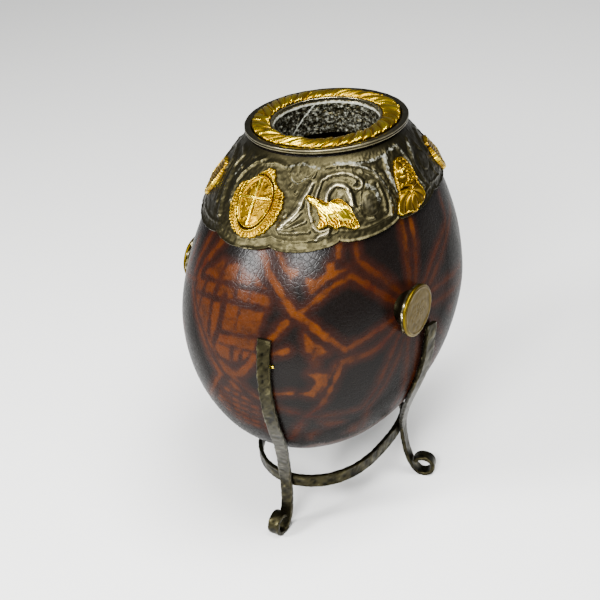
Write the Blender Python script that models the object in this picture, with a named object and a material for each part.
"""Mate gourd cup with a metal collar, held in a three-legged stand of hammered strip.

Lengths are millimetres up to mesh_object(), which turns them into metres. +Z is up.
An azimuth of 0 degrees points to the front (-Y) and grows towards +X. Places are first
worked out round the stand's middle, and mesh_object() moves them to the cup's origin,
which lies on the floor under the middle of the whole object.
"""
import math

import bmesh
import bpy
import numpy as np

MM = 0.001
STAND_MIDDLE = (-3.8, -2.57)

# Gourd: a tall round body, a little flattened, that leans to its right
GOURD_RADIUS = 43.7
GOURD_WAIST_Z = 73.5
GOURD_BELOW = 49.3
GOURD_BELOW_POWER = 1.86
GOURD_ABOVE = 56.7
GOURD_ABOVE_POWER = 1.685
GOURD_FLATTENING = 0.075
GOURD_LONG_AZ = -32.0
GOURD_WALL = 4.0
LEAN_Z = 76.8
LEAN_AT = (4.15, 2.73)
LEAN_SLOPE = (0.103, 0.046)
LEAN_BEND = -0.00008

# Neck, where the gourd is cut and its collar ends
SHOULDER_Z = 106.0
NECK_Z = 124.0
NECK_RADIUS = 20.8
NECK_SLOPE = -0.79
MOUTH_RADIUS = 16.4
RIM_TILT = 0.055

# Gap kept between neighbours
GAP = 0.3

# Collar: a sheet over the shoulder with a scalloped lower edge
COLLAR_THICK = 1.0
COLLAR_EDGE_Z = 106.3
COLLAR_EDGE_TILT = 1.9
COLLAR_SCALLOPS = 12
COLLAR_SCALLOP_DEPTH = 1.3
COLLAR_NOTCH_AZ = 2.0

# Lip: the flat rim with its sleeve down into the mouth
LIP_Z = 125.8
LIP_RADIUS = 23.1
LIP_THICK = 1.3
SLEEVE_RADIUS = 15.2
SLEEVE_THICK = 0.7
SLEEVE_DEPTH = 10.5
LIP_CHANNEL = 1.5
LIP_ROUNDING = 0.5
LIP_SEAT_RADIUS = 21.9
CHANNEL_BEVEL = 0.3

# Wreath: a twisted ring of leaf on the lip
WREATH_RADIUS = 18.8
WREATH_HALF_WIDTH = 2.1
WREATH_HEIGHT = 1.55
WREATH_LOBES = 24
WREATH_SWELL = 0.14

# Ornaments on the collar, one every 45 degrees
ORNAMENTS = 8
ORNAMENT_THICK = 0.6
ORNAMENT_DOME = 0.5
ORNAMENT_BACK_RING = 0.5

# Medallions on the gourd's two flatter sides: azimuth and height of the middle on the skin,
# azimuth that the disc faces, and how far it stands off
MEDALLION_RADIUS = 7.8
MEDALLION_THICK = 1.0
MEDALLION_BEVEL = 0.3
CUP_RADIUS = 6.9
MEDALLIONS = {"right": (31.2, 83.2, 48.0, 2.8), "left": (243.0, 75.5, 238.0, 2.3)}

# Stand: an oval hoop and three legs of one strip section
STRIP_THICK = 1.3
HOOP_MIDDLE = (2.55, 1.08)
HOOP_RADIUS = 23.25
HOOP_OVAL = 4.0
HOOP_LONG_AZ = -35.9
HOOP_LOW_Z = 17.9
HOOP_TALL = 4.2
LEG_WIDTH = 3.9
LEG_PLAY = 0.1
SCROLL_RADIUS = 3.15
SCROLL_TURN = 238.0

# How far each stretch of a leg keeps its heading: off the foot, up to the hoop, on from it,
# and up to where it lies along the gourd
FOOT_SWEEP = 13.0
HOOP_SWEEP_BELOW = 22.0
HOOP_SWEEP_ABOVE = 16.0
GRIP_SWEEP = 22.0

# Legs: heights and azimuths on the gourd of the top and of where the leg leaves it,
# azimuth at the hoop, the foot's place on the floor and the azimuth it points to
LEGS = {
    "leg_front": {"top_z": 84.0, "top_az": -24.2, "leave_z": 47.0, "leave_az": -22.2,
                  "hoop_az": -34.0, "foot": (-17.3, -23.3), "scroll_az": -36.0},
    "leg_right": {"top_z": 76.0, "top_az": 42.0, "leave_z": 54.0, "leave_az": 42.5,
                  "hoop_az": 83.0, "foot": (31.0, -2.2), "scroll_az": 74.0},
    "leg_back": {"top_z": 79.0, "top_az": 196.0, "leave_z": 45.0, "leave_az": 197.0,
                 "hoop_az": 206.0, "foot": (-12.0, 26.0), "scroll_az": 206.0},
}


def unit(vector):
    """Vector scaled to length 1."""
    return vector / np.linalg.norm(vector)


def heading(azimuth):
    """Level unit vector at an azimuth in degrees."""
    angle = math.radians(azimuth)
    return np.array([math.sin(angle), -math.cos(angle), 0.0])


def ease(low, high, value):
    """Smooth step from 0 at low to 1 at high."""
    t = np.clip((value - low) / (high - low), 0.0, 1.0)
    return t * t * (3.0 - 2.0 * t)


def hermite(start, start_slope, end, end_slope, t):
    """Cubic from start to end, with its two slopes, at t between 0 and 1."""
    a = 2 * t ** 3 - 3 * t ** 2 + 1
    b = t ** 3 - 2 * t ** 2 + t
    c = -2 * t ** 3 + 3 * t ** 2
    d = t ** 3 - t ** 2
    return a * start + b * start_slope + c * end + d * end_slope


def gourd_radius(z):
    """Mean radius of the gourd's skin at a height."""
    z = np.asarray(z, float)
    below = np.clip((GOURD_WAIST_Z - z) / GOURD_BELOW, 0, 1) ** GOURD_BELOW_POWER
    above = np.clip((z - GOURD_WAIST_Z) / GOURD_ABOVE, 0, 1) ** GOURD_ABOVE_POWER
    body = GOURD_RADIUS * np.sqrt(np.clip(1 - below - above, 0, 1))
    rise = (SHOULDER_Z - GOURD_WAIST_Z) / GOURD_ABOVE
    left = math.sqrt(1 - rise ** GOURD_ABOVE_POWER)
    shoulder = GOURD_RADIUS * left
    slope = -GOURD_RADIUS * GOURD_ABOVE_POWER / 2 * rise ** (GOURD_ABOVE_POWER - 1) / GOURD_ABOVE / left
    length = NECK_Z - SHOULDER_Z
    t = np.clip((z - SHOULDER_Z) / length, 0, 1)
    neck = hermite(shoulder, slope * length, NECK_RADIUS, NECK_SLOPE * length, t)
    return np.where(z > SHOULDER_Z, neck, body)


def axis_at(z):
    """Middle of the leaning gourd at a height: x and y."""
    rise = np.asarray(z, float) - LEAN_Z
    x = LEAN_AT[0] + LEAN_SLOPE[0] * rise + LEAN_BEND * rise ** 2
    y = LEAN_AT[1] + LEAN_SLOPE[1] * rise
    return x, y


def round_rim(azimuth, radius, height):
    """Points round the lip's own middle, at heights from its middle plane."""
    x, y = axis_at(LIP_Z)
    angle = np.radians(azimuth)
    z = LIP_Z + height + RIM_TILT * radius * np.cos(angle)
    place = (x + radius * np.sin(angle), y - radius * np.cos(angle), z)
    return np.stack(np.broadcast_arrays(*place), -1)


def flat_factor(azimuth, z):
    """Polar radius of the gourd's oval section, against its mean radius."""
    flat = GOURD_FLATTENING * (1 - ease(95.0, 122.0, z))
    angle = np.radians(azimuth - GOURD_LONG_AZ)
    return (1 - flat ** 2) / np.hypot((1 - flat) * np.cos(angle), (1 + flat) * np.sin(angle))


def round_axis(azimuth, z, radius):
    """Points at a radius from the gourd's leaning axis; the neck is cut a little higher in front."""
    x, y = axis_at(z)
    angle = np.radians(azimuth)
    height = z + RIM_TILT * radius * np.cos(angle) * ease(100.0, 122.0, z)
    place = (x + radius * np.sin(angle), y - radius * np.cos(angle), height)
    return np.stack(np.broadcast_arrays(*place), -1)


def on_gourd(azimuth, z, proud=0.0):
    """Points on the gourd's skin, moved out by proud."""
    return round_axis(azimuth, z, gourd_radius(z) * flat_factor(azimuth, z) + proud)


def material(name, color, roughness, metallic):
    """A Principled material in linear colour."""
    result = bpy.data.materials.new(name)
    result.use_nodes = True
    shader = result.node_tree.nodes["Principled BSDF"]
    shader.inputs["Base Color"].default_value = (*color, 1.0)
    shader.inputs["Roughness"].default_value = roughness
    shader.inputs["Metallic"].default_value = metallic
    return result


def mesh_object(name, points, faces, look):
    """A closed mesh with its faces out, smooth but for its sharp edges."""
    place = np.array([STAND_MIDDLE[0], STAND_MIDDLE[1], 0.0])
    mesh = bpy.data.meshes.new(name)
    mesh.from_pydata(((points + place) * MM).tolist(), [], faces)
    shape = bmesh.new()
    shape.from_mesh(mesh)
    bmesh.ops.recalc_face_normals(shape, faces=shape.faces)
    shape.to_mesh(mesh)
    shape.free()
    mesh.shade_smooth()
    mesh.set_sharp_from_angle(angle=math.radians(40.0))
    mesh.materials.append(look)
    result = bpy.data.objects.new(name, mesh)
    bpy.context.collection.objects.link(result)
    return result


def rows_to_faces(rows, columns, rows_close):
    """Quads between the rows of a grid whose columns close."""
    faces = []
    for row in range(rows if rows_close else rows - 1):
        above = (row + 1) % rows
        for column in range(columns):
            beside = (column + 1) % columns
            faces.append((row * columns + column, row * columns + beside,
                          above * columns + beside, above * columns + column))
    return faces


def turned(name, grid, look):
    """A ring-shaped solid: the rows close on each other round its section."""
    rows, columns = grid.shape[:2]
    return mesh_object(name, grid.reshape(-1, 3), rows_to_faces(rows, columns, True), look)


def domed(name, grid, first, last, look):
    """A solid whose rows run from one end point to another."""
    rows, columns = grid.shape[:2]
    faces = rows_to_faces(rows, columns, False)
    end = (rows - 1) * columns
    for column in range(columns):
        beside = (column + 1) % columns
        faces.append((rows * columns, beside, column))
        faces.append((rows * columns + 1, end + column, end + beside))
    points = np.vstack([grid.reshape(-1, 3), [first], [last]])
    return mesh_object(name, points, faces, look)


def strip_along(name, path, across, thick, width, look):
    """A flat strip carried along a path, its width along the across vectors."""
    forward = np.gradient(path, axis=0)
    forward /= np.linalg.norm(forward, axis=1)[:, None]
    across = across - (across * forward).sum(1)[:, None] * forward
    across /= np.linalg.norm(across, axis=1)[:, None]
    out = np.cross(forward, across)
    corners = [(-1, -1), (1, -1), (1, 1), (-1, 1)]
    grid = np.stack([path + a * across * width / 2 + b * out * thick / 2 for a, b in corners], 1)
    rows, columns = grid.shape[:2]
    faces = rows_to_faces(rows, columns, False)
    faces.append(tuple(range(columns)))
    faces.append(tuple(range((rows - 1) * columns, rows * columns)))
    return mesh_object(name, grid.reshape(-1, 3), faces, look)


def make_gourd(look, around=48, below=13, above=13, inside=10):
    """The hollow gourd, its skin and its inner wall joined at the mouth."""
    azimuth = np.linspace(0, 360, around, endpoint=False)
    dip = np.cos(np.linspace(math.radians(6.0), math.pi / 2, below))
    skin_z = np.concatenate([GOURD_WAIST_Z - GOURD_BELOW * dip,
                             np.linspace(GOURD_WAIST_Z, NECK_Z, above)[1:]])
    skin = [on_gourd(azimuth, z) for z in skin_z]
    depth = GOURD_BELOW - GOURD_WALL
    wall_z = np.concatenate([np.linspace(NECK_Z, GOURD_WAIST_Z, inside)[:-1],
                             GOURD_WAIST_Z - depth * np.sin(np.linspace(0, math.radians(84.0), inside))])
    wall = []
    for z in wall_z:
        if z > GOURD_WAIST_Z:
            thick = GOURD_WALL + (NECK_RADIUS - MOUTH_RADIUS - GOURD_WALL) * ease(SHOULDER_Z, NECK_Z, z)
            radius = gourd_radius(z) * flat_factor(azimuth, z) - thick
        else:
            fall = ((GOURD_WAIST_Z - z) / depth) ** GOURD_BELOW_POWER
            radius = (GOURD_RADIUS * flat_factor(azimuth, z) - GOURD_WALL) * math.sqrt(1 - fall)
        wall.append(round_axis(azimuth, z, radius))
    low, floor = GOURD_WAIST_Z - GOURD_BELOW, GOURD_WAIST_Z - depth
    return domed("gourd", np.array(skin + wall), round_axis(0.0, low, 0.0), round_axis(0.0, floor, 0.0), look)


def collar_edge(azimuth):
    """Height of the collar's lower edge: hanging scallops with notches between."""
    wave = np.abs(np.sin(np.radians(azimuth - COLLAR_NOTCH_AZ) * COLLAR_SCALLOPS / 2))
    middle = COLLAR_EDGE_Z + COLLAR_EDGE_TILT * np.sin(np.radians(azimuth))
    return middle - COLLAR_SCALLOP_DEPTH * (wave ** 0.5 - 0.5)


def make_collar(look, around=72, outside=7, inside=6):
    """The collar sheet, from its scalloped edge up to the neck."""
    azimuth = np.linspace(0, 360, around, endpoint=False) + COLLAR_NOTCH_AZ
    edge = collar_edge(azimuth)
    rows = []
    for t in np.linspace(0, 1, outside):
        rows.append(on_gourd(azimuth, edge + (NECK_Z - edge) * t, GAP + COLLAR_THICK))
    for t in np.linspace(1, 0, inside):
        rows.append(on_gourd(azimuth, edge + (NECK_Z - edge) * t, GAP))
    return turned("collar", np.array(rows), look)


def make_lip(look, around=56):
    """The flat rim, its turned-down edge and the sleeve, as one turned profile."""
    half = LIP_THICK / 2
    seat = half - LIP_CHANNEL
    sleeve = SLEEVE_RADIUS + SLEEVE_THICK
    under = NECK_Z + GAP - LIP_Z
    outer = WREATH_RADIUS + WREATH_HALF_WIDTH + GAP
    inner = WREATH_RADIUS - WREATH_HALF_WIDTH - GAP
    side = half / 2
    profile = [(LIP_RADIUS, side), (LIP_RADIUS - LIP_ROUNDING, half), (outer + CHANNEL_BEVEL, half),
               (outer, seat), (inner, seat), (inner - CHANNEL_BEVEL, half),
               (SLEEVE_RADIUS + CHANNEL_BEVEL, half), (SLEEVE_RADIUS, side),
               (SLEEVE_RADIUS, -SLEEVE_DEPTH), (sleeve, -SLEEVE_DEPTH), (sleeve, under),
               (LIP_SEAT_RADIUS, under), (LIP_RADIUS - LIP_ROUNDING, -half), (LIP_RADIUS, -side)]
    azimuth = np.linspace(0, 360, around, endpoint=False)
    rows = [round_rim(azimuth, radius, height) for radius, height in profile]
    return turned("lip", np.array(rows), look)


def make_wreath(look, turns=3, section=7):
    """Twisted leaf ring: a flat-bottomed oval section whose lobes wind round it."""
    azimuth = np.linspace(0, 360, WREATH_LOBES * turns, endpoint=False)
    base = LIP_THICK / 2 - LIP_CHANNEL + GAP
    rows = []
    for turn in np.linspace(0, 2 * math.pi, section, endpoint=False):
        lobe = 1 + WREATH_SWELL * np.cos(WREATH_LOBES * np.radians(azimuth) + turn)
        out = WREATH_HALF_WIDTH * math.cos(turn)
        up = WREATH_HEIGHT * np.maximum(0.5 + 0.5 * math.sin(turn) * lobe, 0.0)
        rows.append(round_rim(azimuth, WREATH_RADIUS + out, base + up))
    return turned("wreath", np.array(rows), look)


def shoulder_point(azimuth, across, up, proud):
    """Point on the collar at lengths across and up from its ornament's middle."""
    z_table = np.linspace(SHOULDER_Z, NECK_Z, 200)
    climb = np.hypot(np.gradient(z_table), np.gradient(gourd_radius(z_table)))
    length = np.cumsum(climb) - climb[0]
    z = np.interp(up, length, z_table)
    turn = azimuth + np.degrees(across / gourd_radius(z))
    slope = (gourd_radius(z + 0.1) - gourd_radius(z - 0.1)) / 0.2
    tilt = np.hypot(1.0, slope)
    shift = GAP + COLLAR_THICK
    level_out = np.stack([np.sin(np.radians(turn)), -np.cos(np.radians(turn)), 0 * z], -1)
    return on_gourd(turn, z - proud * slope / tilt, shift) + (proud * tilt)[..., None] * level_out


def lobed(width, height, tilt, lobes):
    """Outline of an oval with raised lobes: radius as a function of direction."""
    def outline(angle):
        turned_angle = angle - math.radians(tilt)
        radius = width * height / np.hypot(height * np.cos(turned_angle), width * np.sin(turned_angle))
        for direction, reach, spread in lobes:
            away = np.degrees((angle - math.radians(direction) + math.pi) % (2 * math.pi) - math.pi)
            radius = radius + reach * np.exp(-(away / spread) ** 2)
        return radius
    return outline


# Each kind: its outline, how far its middle stands up the collar, its turn round it
ORNAMENT_KINDS = {
    "shield": (lobed(7.9, 7.5, -16.0, [(84, 2.0, 16)]), 8.5, 2.8),
    "bird": (lobed(5.4, 3.9, -10.0, [(146, 3.2, 15), (-22, 1.4, 18)]), 7.7, 0.6),
    "mask": (lobed(4.2, 7.4, -10.0, [(-75, 1.4, 22), (-140, 1.4, 22)]), 8.9, -1.5),
    "spray": (lobed(3.8, 5.6, 0.0, [(60, 1.0, 18), (120, 1.0, 18), (-90, 0.8, 20)]), 7.4, 0.0),
}


def make_ornament(name, kind, azimuth, look, around=24, rings=(1.0, 0.86, 0.55)):
    """A domed plate that follows the collar, with the outline of its kind."""
    outline, middle, shift = ORNAMENT_KINDS[kind]
    azimuth = azimuth + shift
    angle = np.linspace(0, 2 * math.pi, around, endpoint=False)
    reach = outline(angle)

    def ring(part, proud):
        across, up = part * reach * np.cos(angle), middle + part * reach * np.sin(angle)
        return shoulder_point(azimuth, across, np.maximum(up, 0.0), GAP + proud)

    rows = [ring(ORNAMENT_BACK_RING, 0.0), ring(rings[0], 0.0)]
    for part in rings:
        rows.append(ring(part, ORNAMENT_THICK + ORNAMENT_DOME * (1 - part ** 2)))
    zero = np.zeros(1)
    low = shoulder_point(azimuth, zero, zero + middle, GAP)[0]
    high = shoulder_point(azimuth, zero, zero + middle, GAP + ORNAMENT_THICK + ORNAMENT_DOME)[0]
    return domed(name, np.array(rows), low, high, look)


def depth_to_gourd(points, inward):
    """Distance along inward from each point to the gourd's skin."""
    far, near = np.full(len(points), 12.0), np.zeros(len(points))
    for _ in range(30):
        middle = (far + near) / 2
        place = points + middle[:, None] * inward
        x, y = axis_at(place[:, 2])
        azimuth = np.degrees(np.arctan2(place[:, 0] - x, y - place[:, 1]))
        radius = np.hypot(place[:, 0] - x, place[:, 1] - y)
        inside = radius < gourd_radius(place[:, 2]) * flat_factor(azimuth, place[:, 2])
        far, near = np.where(inside, middle, far), np.where(inside, near, middle)
    return near


def make_medallion(side, azimuth, z, facing, stand_off, disc_look, cup_look, around=28):
    """A disc on a shallow cup whose back follows the gourd."""
    out = heading(facing)
    across = np.array([-out[1], out[0], 0.0])
    up = np.array([0.0, 0.0, 1.0])
    middle = on_gourd(azimuth, z) + out * stand_off
    angle = np.linspace(0, 2 * math.pi, around, endpoint=False)

    def ring(radius, lift):
        return (middle + out * lift + radius * np.cos(angle)[:, None] * across
                + radius * np.sin(angle)[:, None] * up)

    half = MEDALLION_THICK / 2
    shoulder, edge = MEDALLION_RADIUS - MEDALLION_BEVEL, half - MEDALLION_BEVEL
    disc = [ring(shoulder, -half), ring(MEDALLION_RADIUS, -edge),
            ring(MEDALLION_RADIUS, edge), ring(shoulder, half)]
    domed("disc_" + side, np.array(disc), middle - out * half, middle + out * half, disc_look)

    face = -half - GAP

    def back(radius):
        flat = ring(radius, face)
        return flat - (depth_to_gourd(flat, -out) - GAP)[:, None] * out

    middle_ring = CUP_RADIUS / 2
    cup = [ring(middle_ring, face), ring(CUP_RADIUS, face), back(CUP_RADIUS), back(middle_ring)]
    centre = (middle + out * face)[None]
    sunk = centre - (depth_to_gourd(centre, -out) - GAP)[:, None] * out
    domed("disc_cup_" + side, np.array(cup), centre[0], sunk[0], cup_look)


def hoop_point(azimuth, proud):
    """Point of the oval hoop's middle line in plan, moved out by proud."""
    azimuth = np.asarray(azimuth, float)
    radius = HOOP_RADIUS + HOOP_OVAL * np.cos(2 * np.radians(azimuth - HOOP_LONG_AZ))
    turn = -2 * HOOP_OVAL * np.sin(2 * np.radians(azimuth - HOOP_LONG_AZ))
    lean = np.radians(azimuth) - np.arctan2(turn, radius)
    x = HOOP_MIDDLE[0] + radius * np.sin(np.radians(azimuth)) + proud * np.sin(lean)
    y = HOOP_MIDDLE[1] - radius * np.cos(np.radians(azimuth)) - proud * np.cos(lean)
    return np.stack([x, y, 0 * x], -1), np.degrees(lean)


def make_hoop(look, around=64):
    """The oval hoop: an upright flat strip bent round."""
    azimuth = np.linspace(0, 360, around, endpoint=False)
    rows = []
    for proud, height in ((-1, 0), (1, 0), (1, 1), (-1, 1)):
        points = hoop_point(azimuth, proud * STRIP_THICK / 2)[0]
        points[:, 2] = HOOP_LOW_Z + height * HOOP_TALL
        rows.append(points)
    return turned("stand_hoop", np.array(rows), look)


def make_leg(name, look, top_z, top_az, leave_z, leave_az, hoop_az, foot, scroll_az):
    """One leg: scroll foot, sweep past the hoop, then up along the gourd."""
    middle_off = GAP + STRIP_THICK / 2 + LEG_PLAY
    toe = heading(scroll_az)
    bottom = np.array([foot[0], foot[1], STRIP_THICK / 2])
    turn = np.linspace(math.radians(SCROLL_TURN), 0, 17)[:, None]
    rise = np.array([0.0, 0.0, 1.0])
    scroll = bottom + SCROLL_RADIUS * (np.sin(turn) * toe + (1 - np.cos(turn)) * rise)

    plan, hoop_facing = hoop_point(hoop_az, STRIP_THICK + GAP)
    at_hoop = plan + rise * (HOOP_LOW_Z + HOOP_TALL / 2)
    t = np.linspace(0, 1, 13)[1:, None]
    shin = hermite(bottom, -toe * FOOT_SWEEP, at_hoop, rise * HOOP_SWEEP_BELOW, t)

    climb = np.linspace(leave_z, top_z, 12)
    swing = leave_az + (top_az - leave_az) * ease(leave_z, top_z, climb)
    grip = on_gourd(swing, climb, middle_off)
    start_slope = unit(grip[1] - grip[0])
    t = np.linspace(0, 1, 12)[1:-1, None]
    thigh = hermite(at_hoop, rise * HOOP_SWEEP_ABOVE, grip[0], start_slope * GRIP_SWEEP, t)

    path = np.vstack([scroll, shin, thigh, grip])
    keys = np.cumsum([0, len(scroll) - 1, len(shin), len(thigh) + 1, len(grip) - 1])
    facing = np.interp(np.arange(len(path)), keys, [scroll_az, scroll_az, hoop_facing, leave_az, top_az])
    across = np.stack([np.cos(np.radians(facing)), np.sin(np.radians(facing)), 0 * facing], -1)
    return strip_along(name, path, across, STRIP_THICK, LEG_WIDTH, look)


def main():
    """Clear the scene and make every piece."""
    for old in list(bpy.data.objects):
        bpy.data.objects.remove(old)
    shell = material("lacquered_gourd", (0.035, 0.014, 0.009), 0.3, 0.0)
    silver = material("tarnished_nickel_silver", (0.16, 0.145, 0.1), 0.42, 1.0)
    gilt = material("worn_gilding", (0.62, 0.4, 0.08), 0.3, 1.0)
    brass = material("dull_brass", (0.28, 0.22, 0.08), 0.42, 1.0)
    iron = material("hammered_bronzed_strip", (0.07, 0.062, 0.036), 0.55, 1.0)

    make_gourd(shell)
    make_collar(silver)
    make_lip(silver)
    make_wreath(gilt)
    kinds = ["bird", "mask", "spray", "shield"]
    for number in range(ORNAMENTS):
        kind = kinds[number % len(kinds)]
        make_ornament(f"{kind}_{number + 1}", kind, number * 360.0 / ORNAMENTS, gilt)

    for side, place in MEDALLIONS.items():
        make_medallion(side, *place, brass, silver)

    make_hoop(iron)
    for name, route in LEGS.items():
        make_leg(name, look=iron, **route)


main()
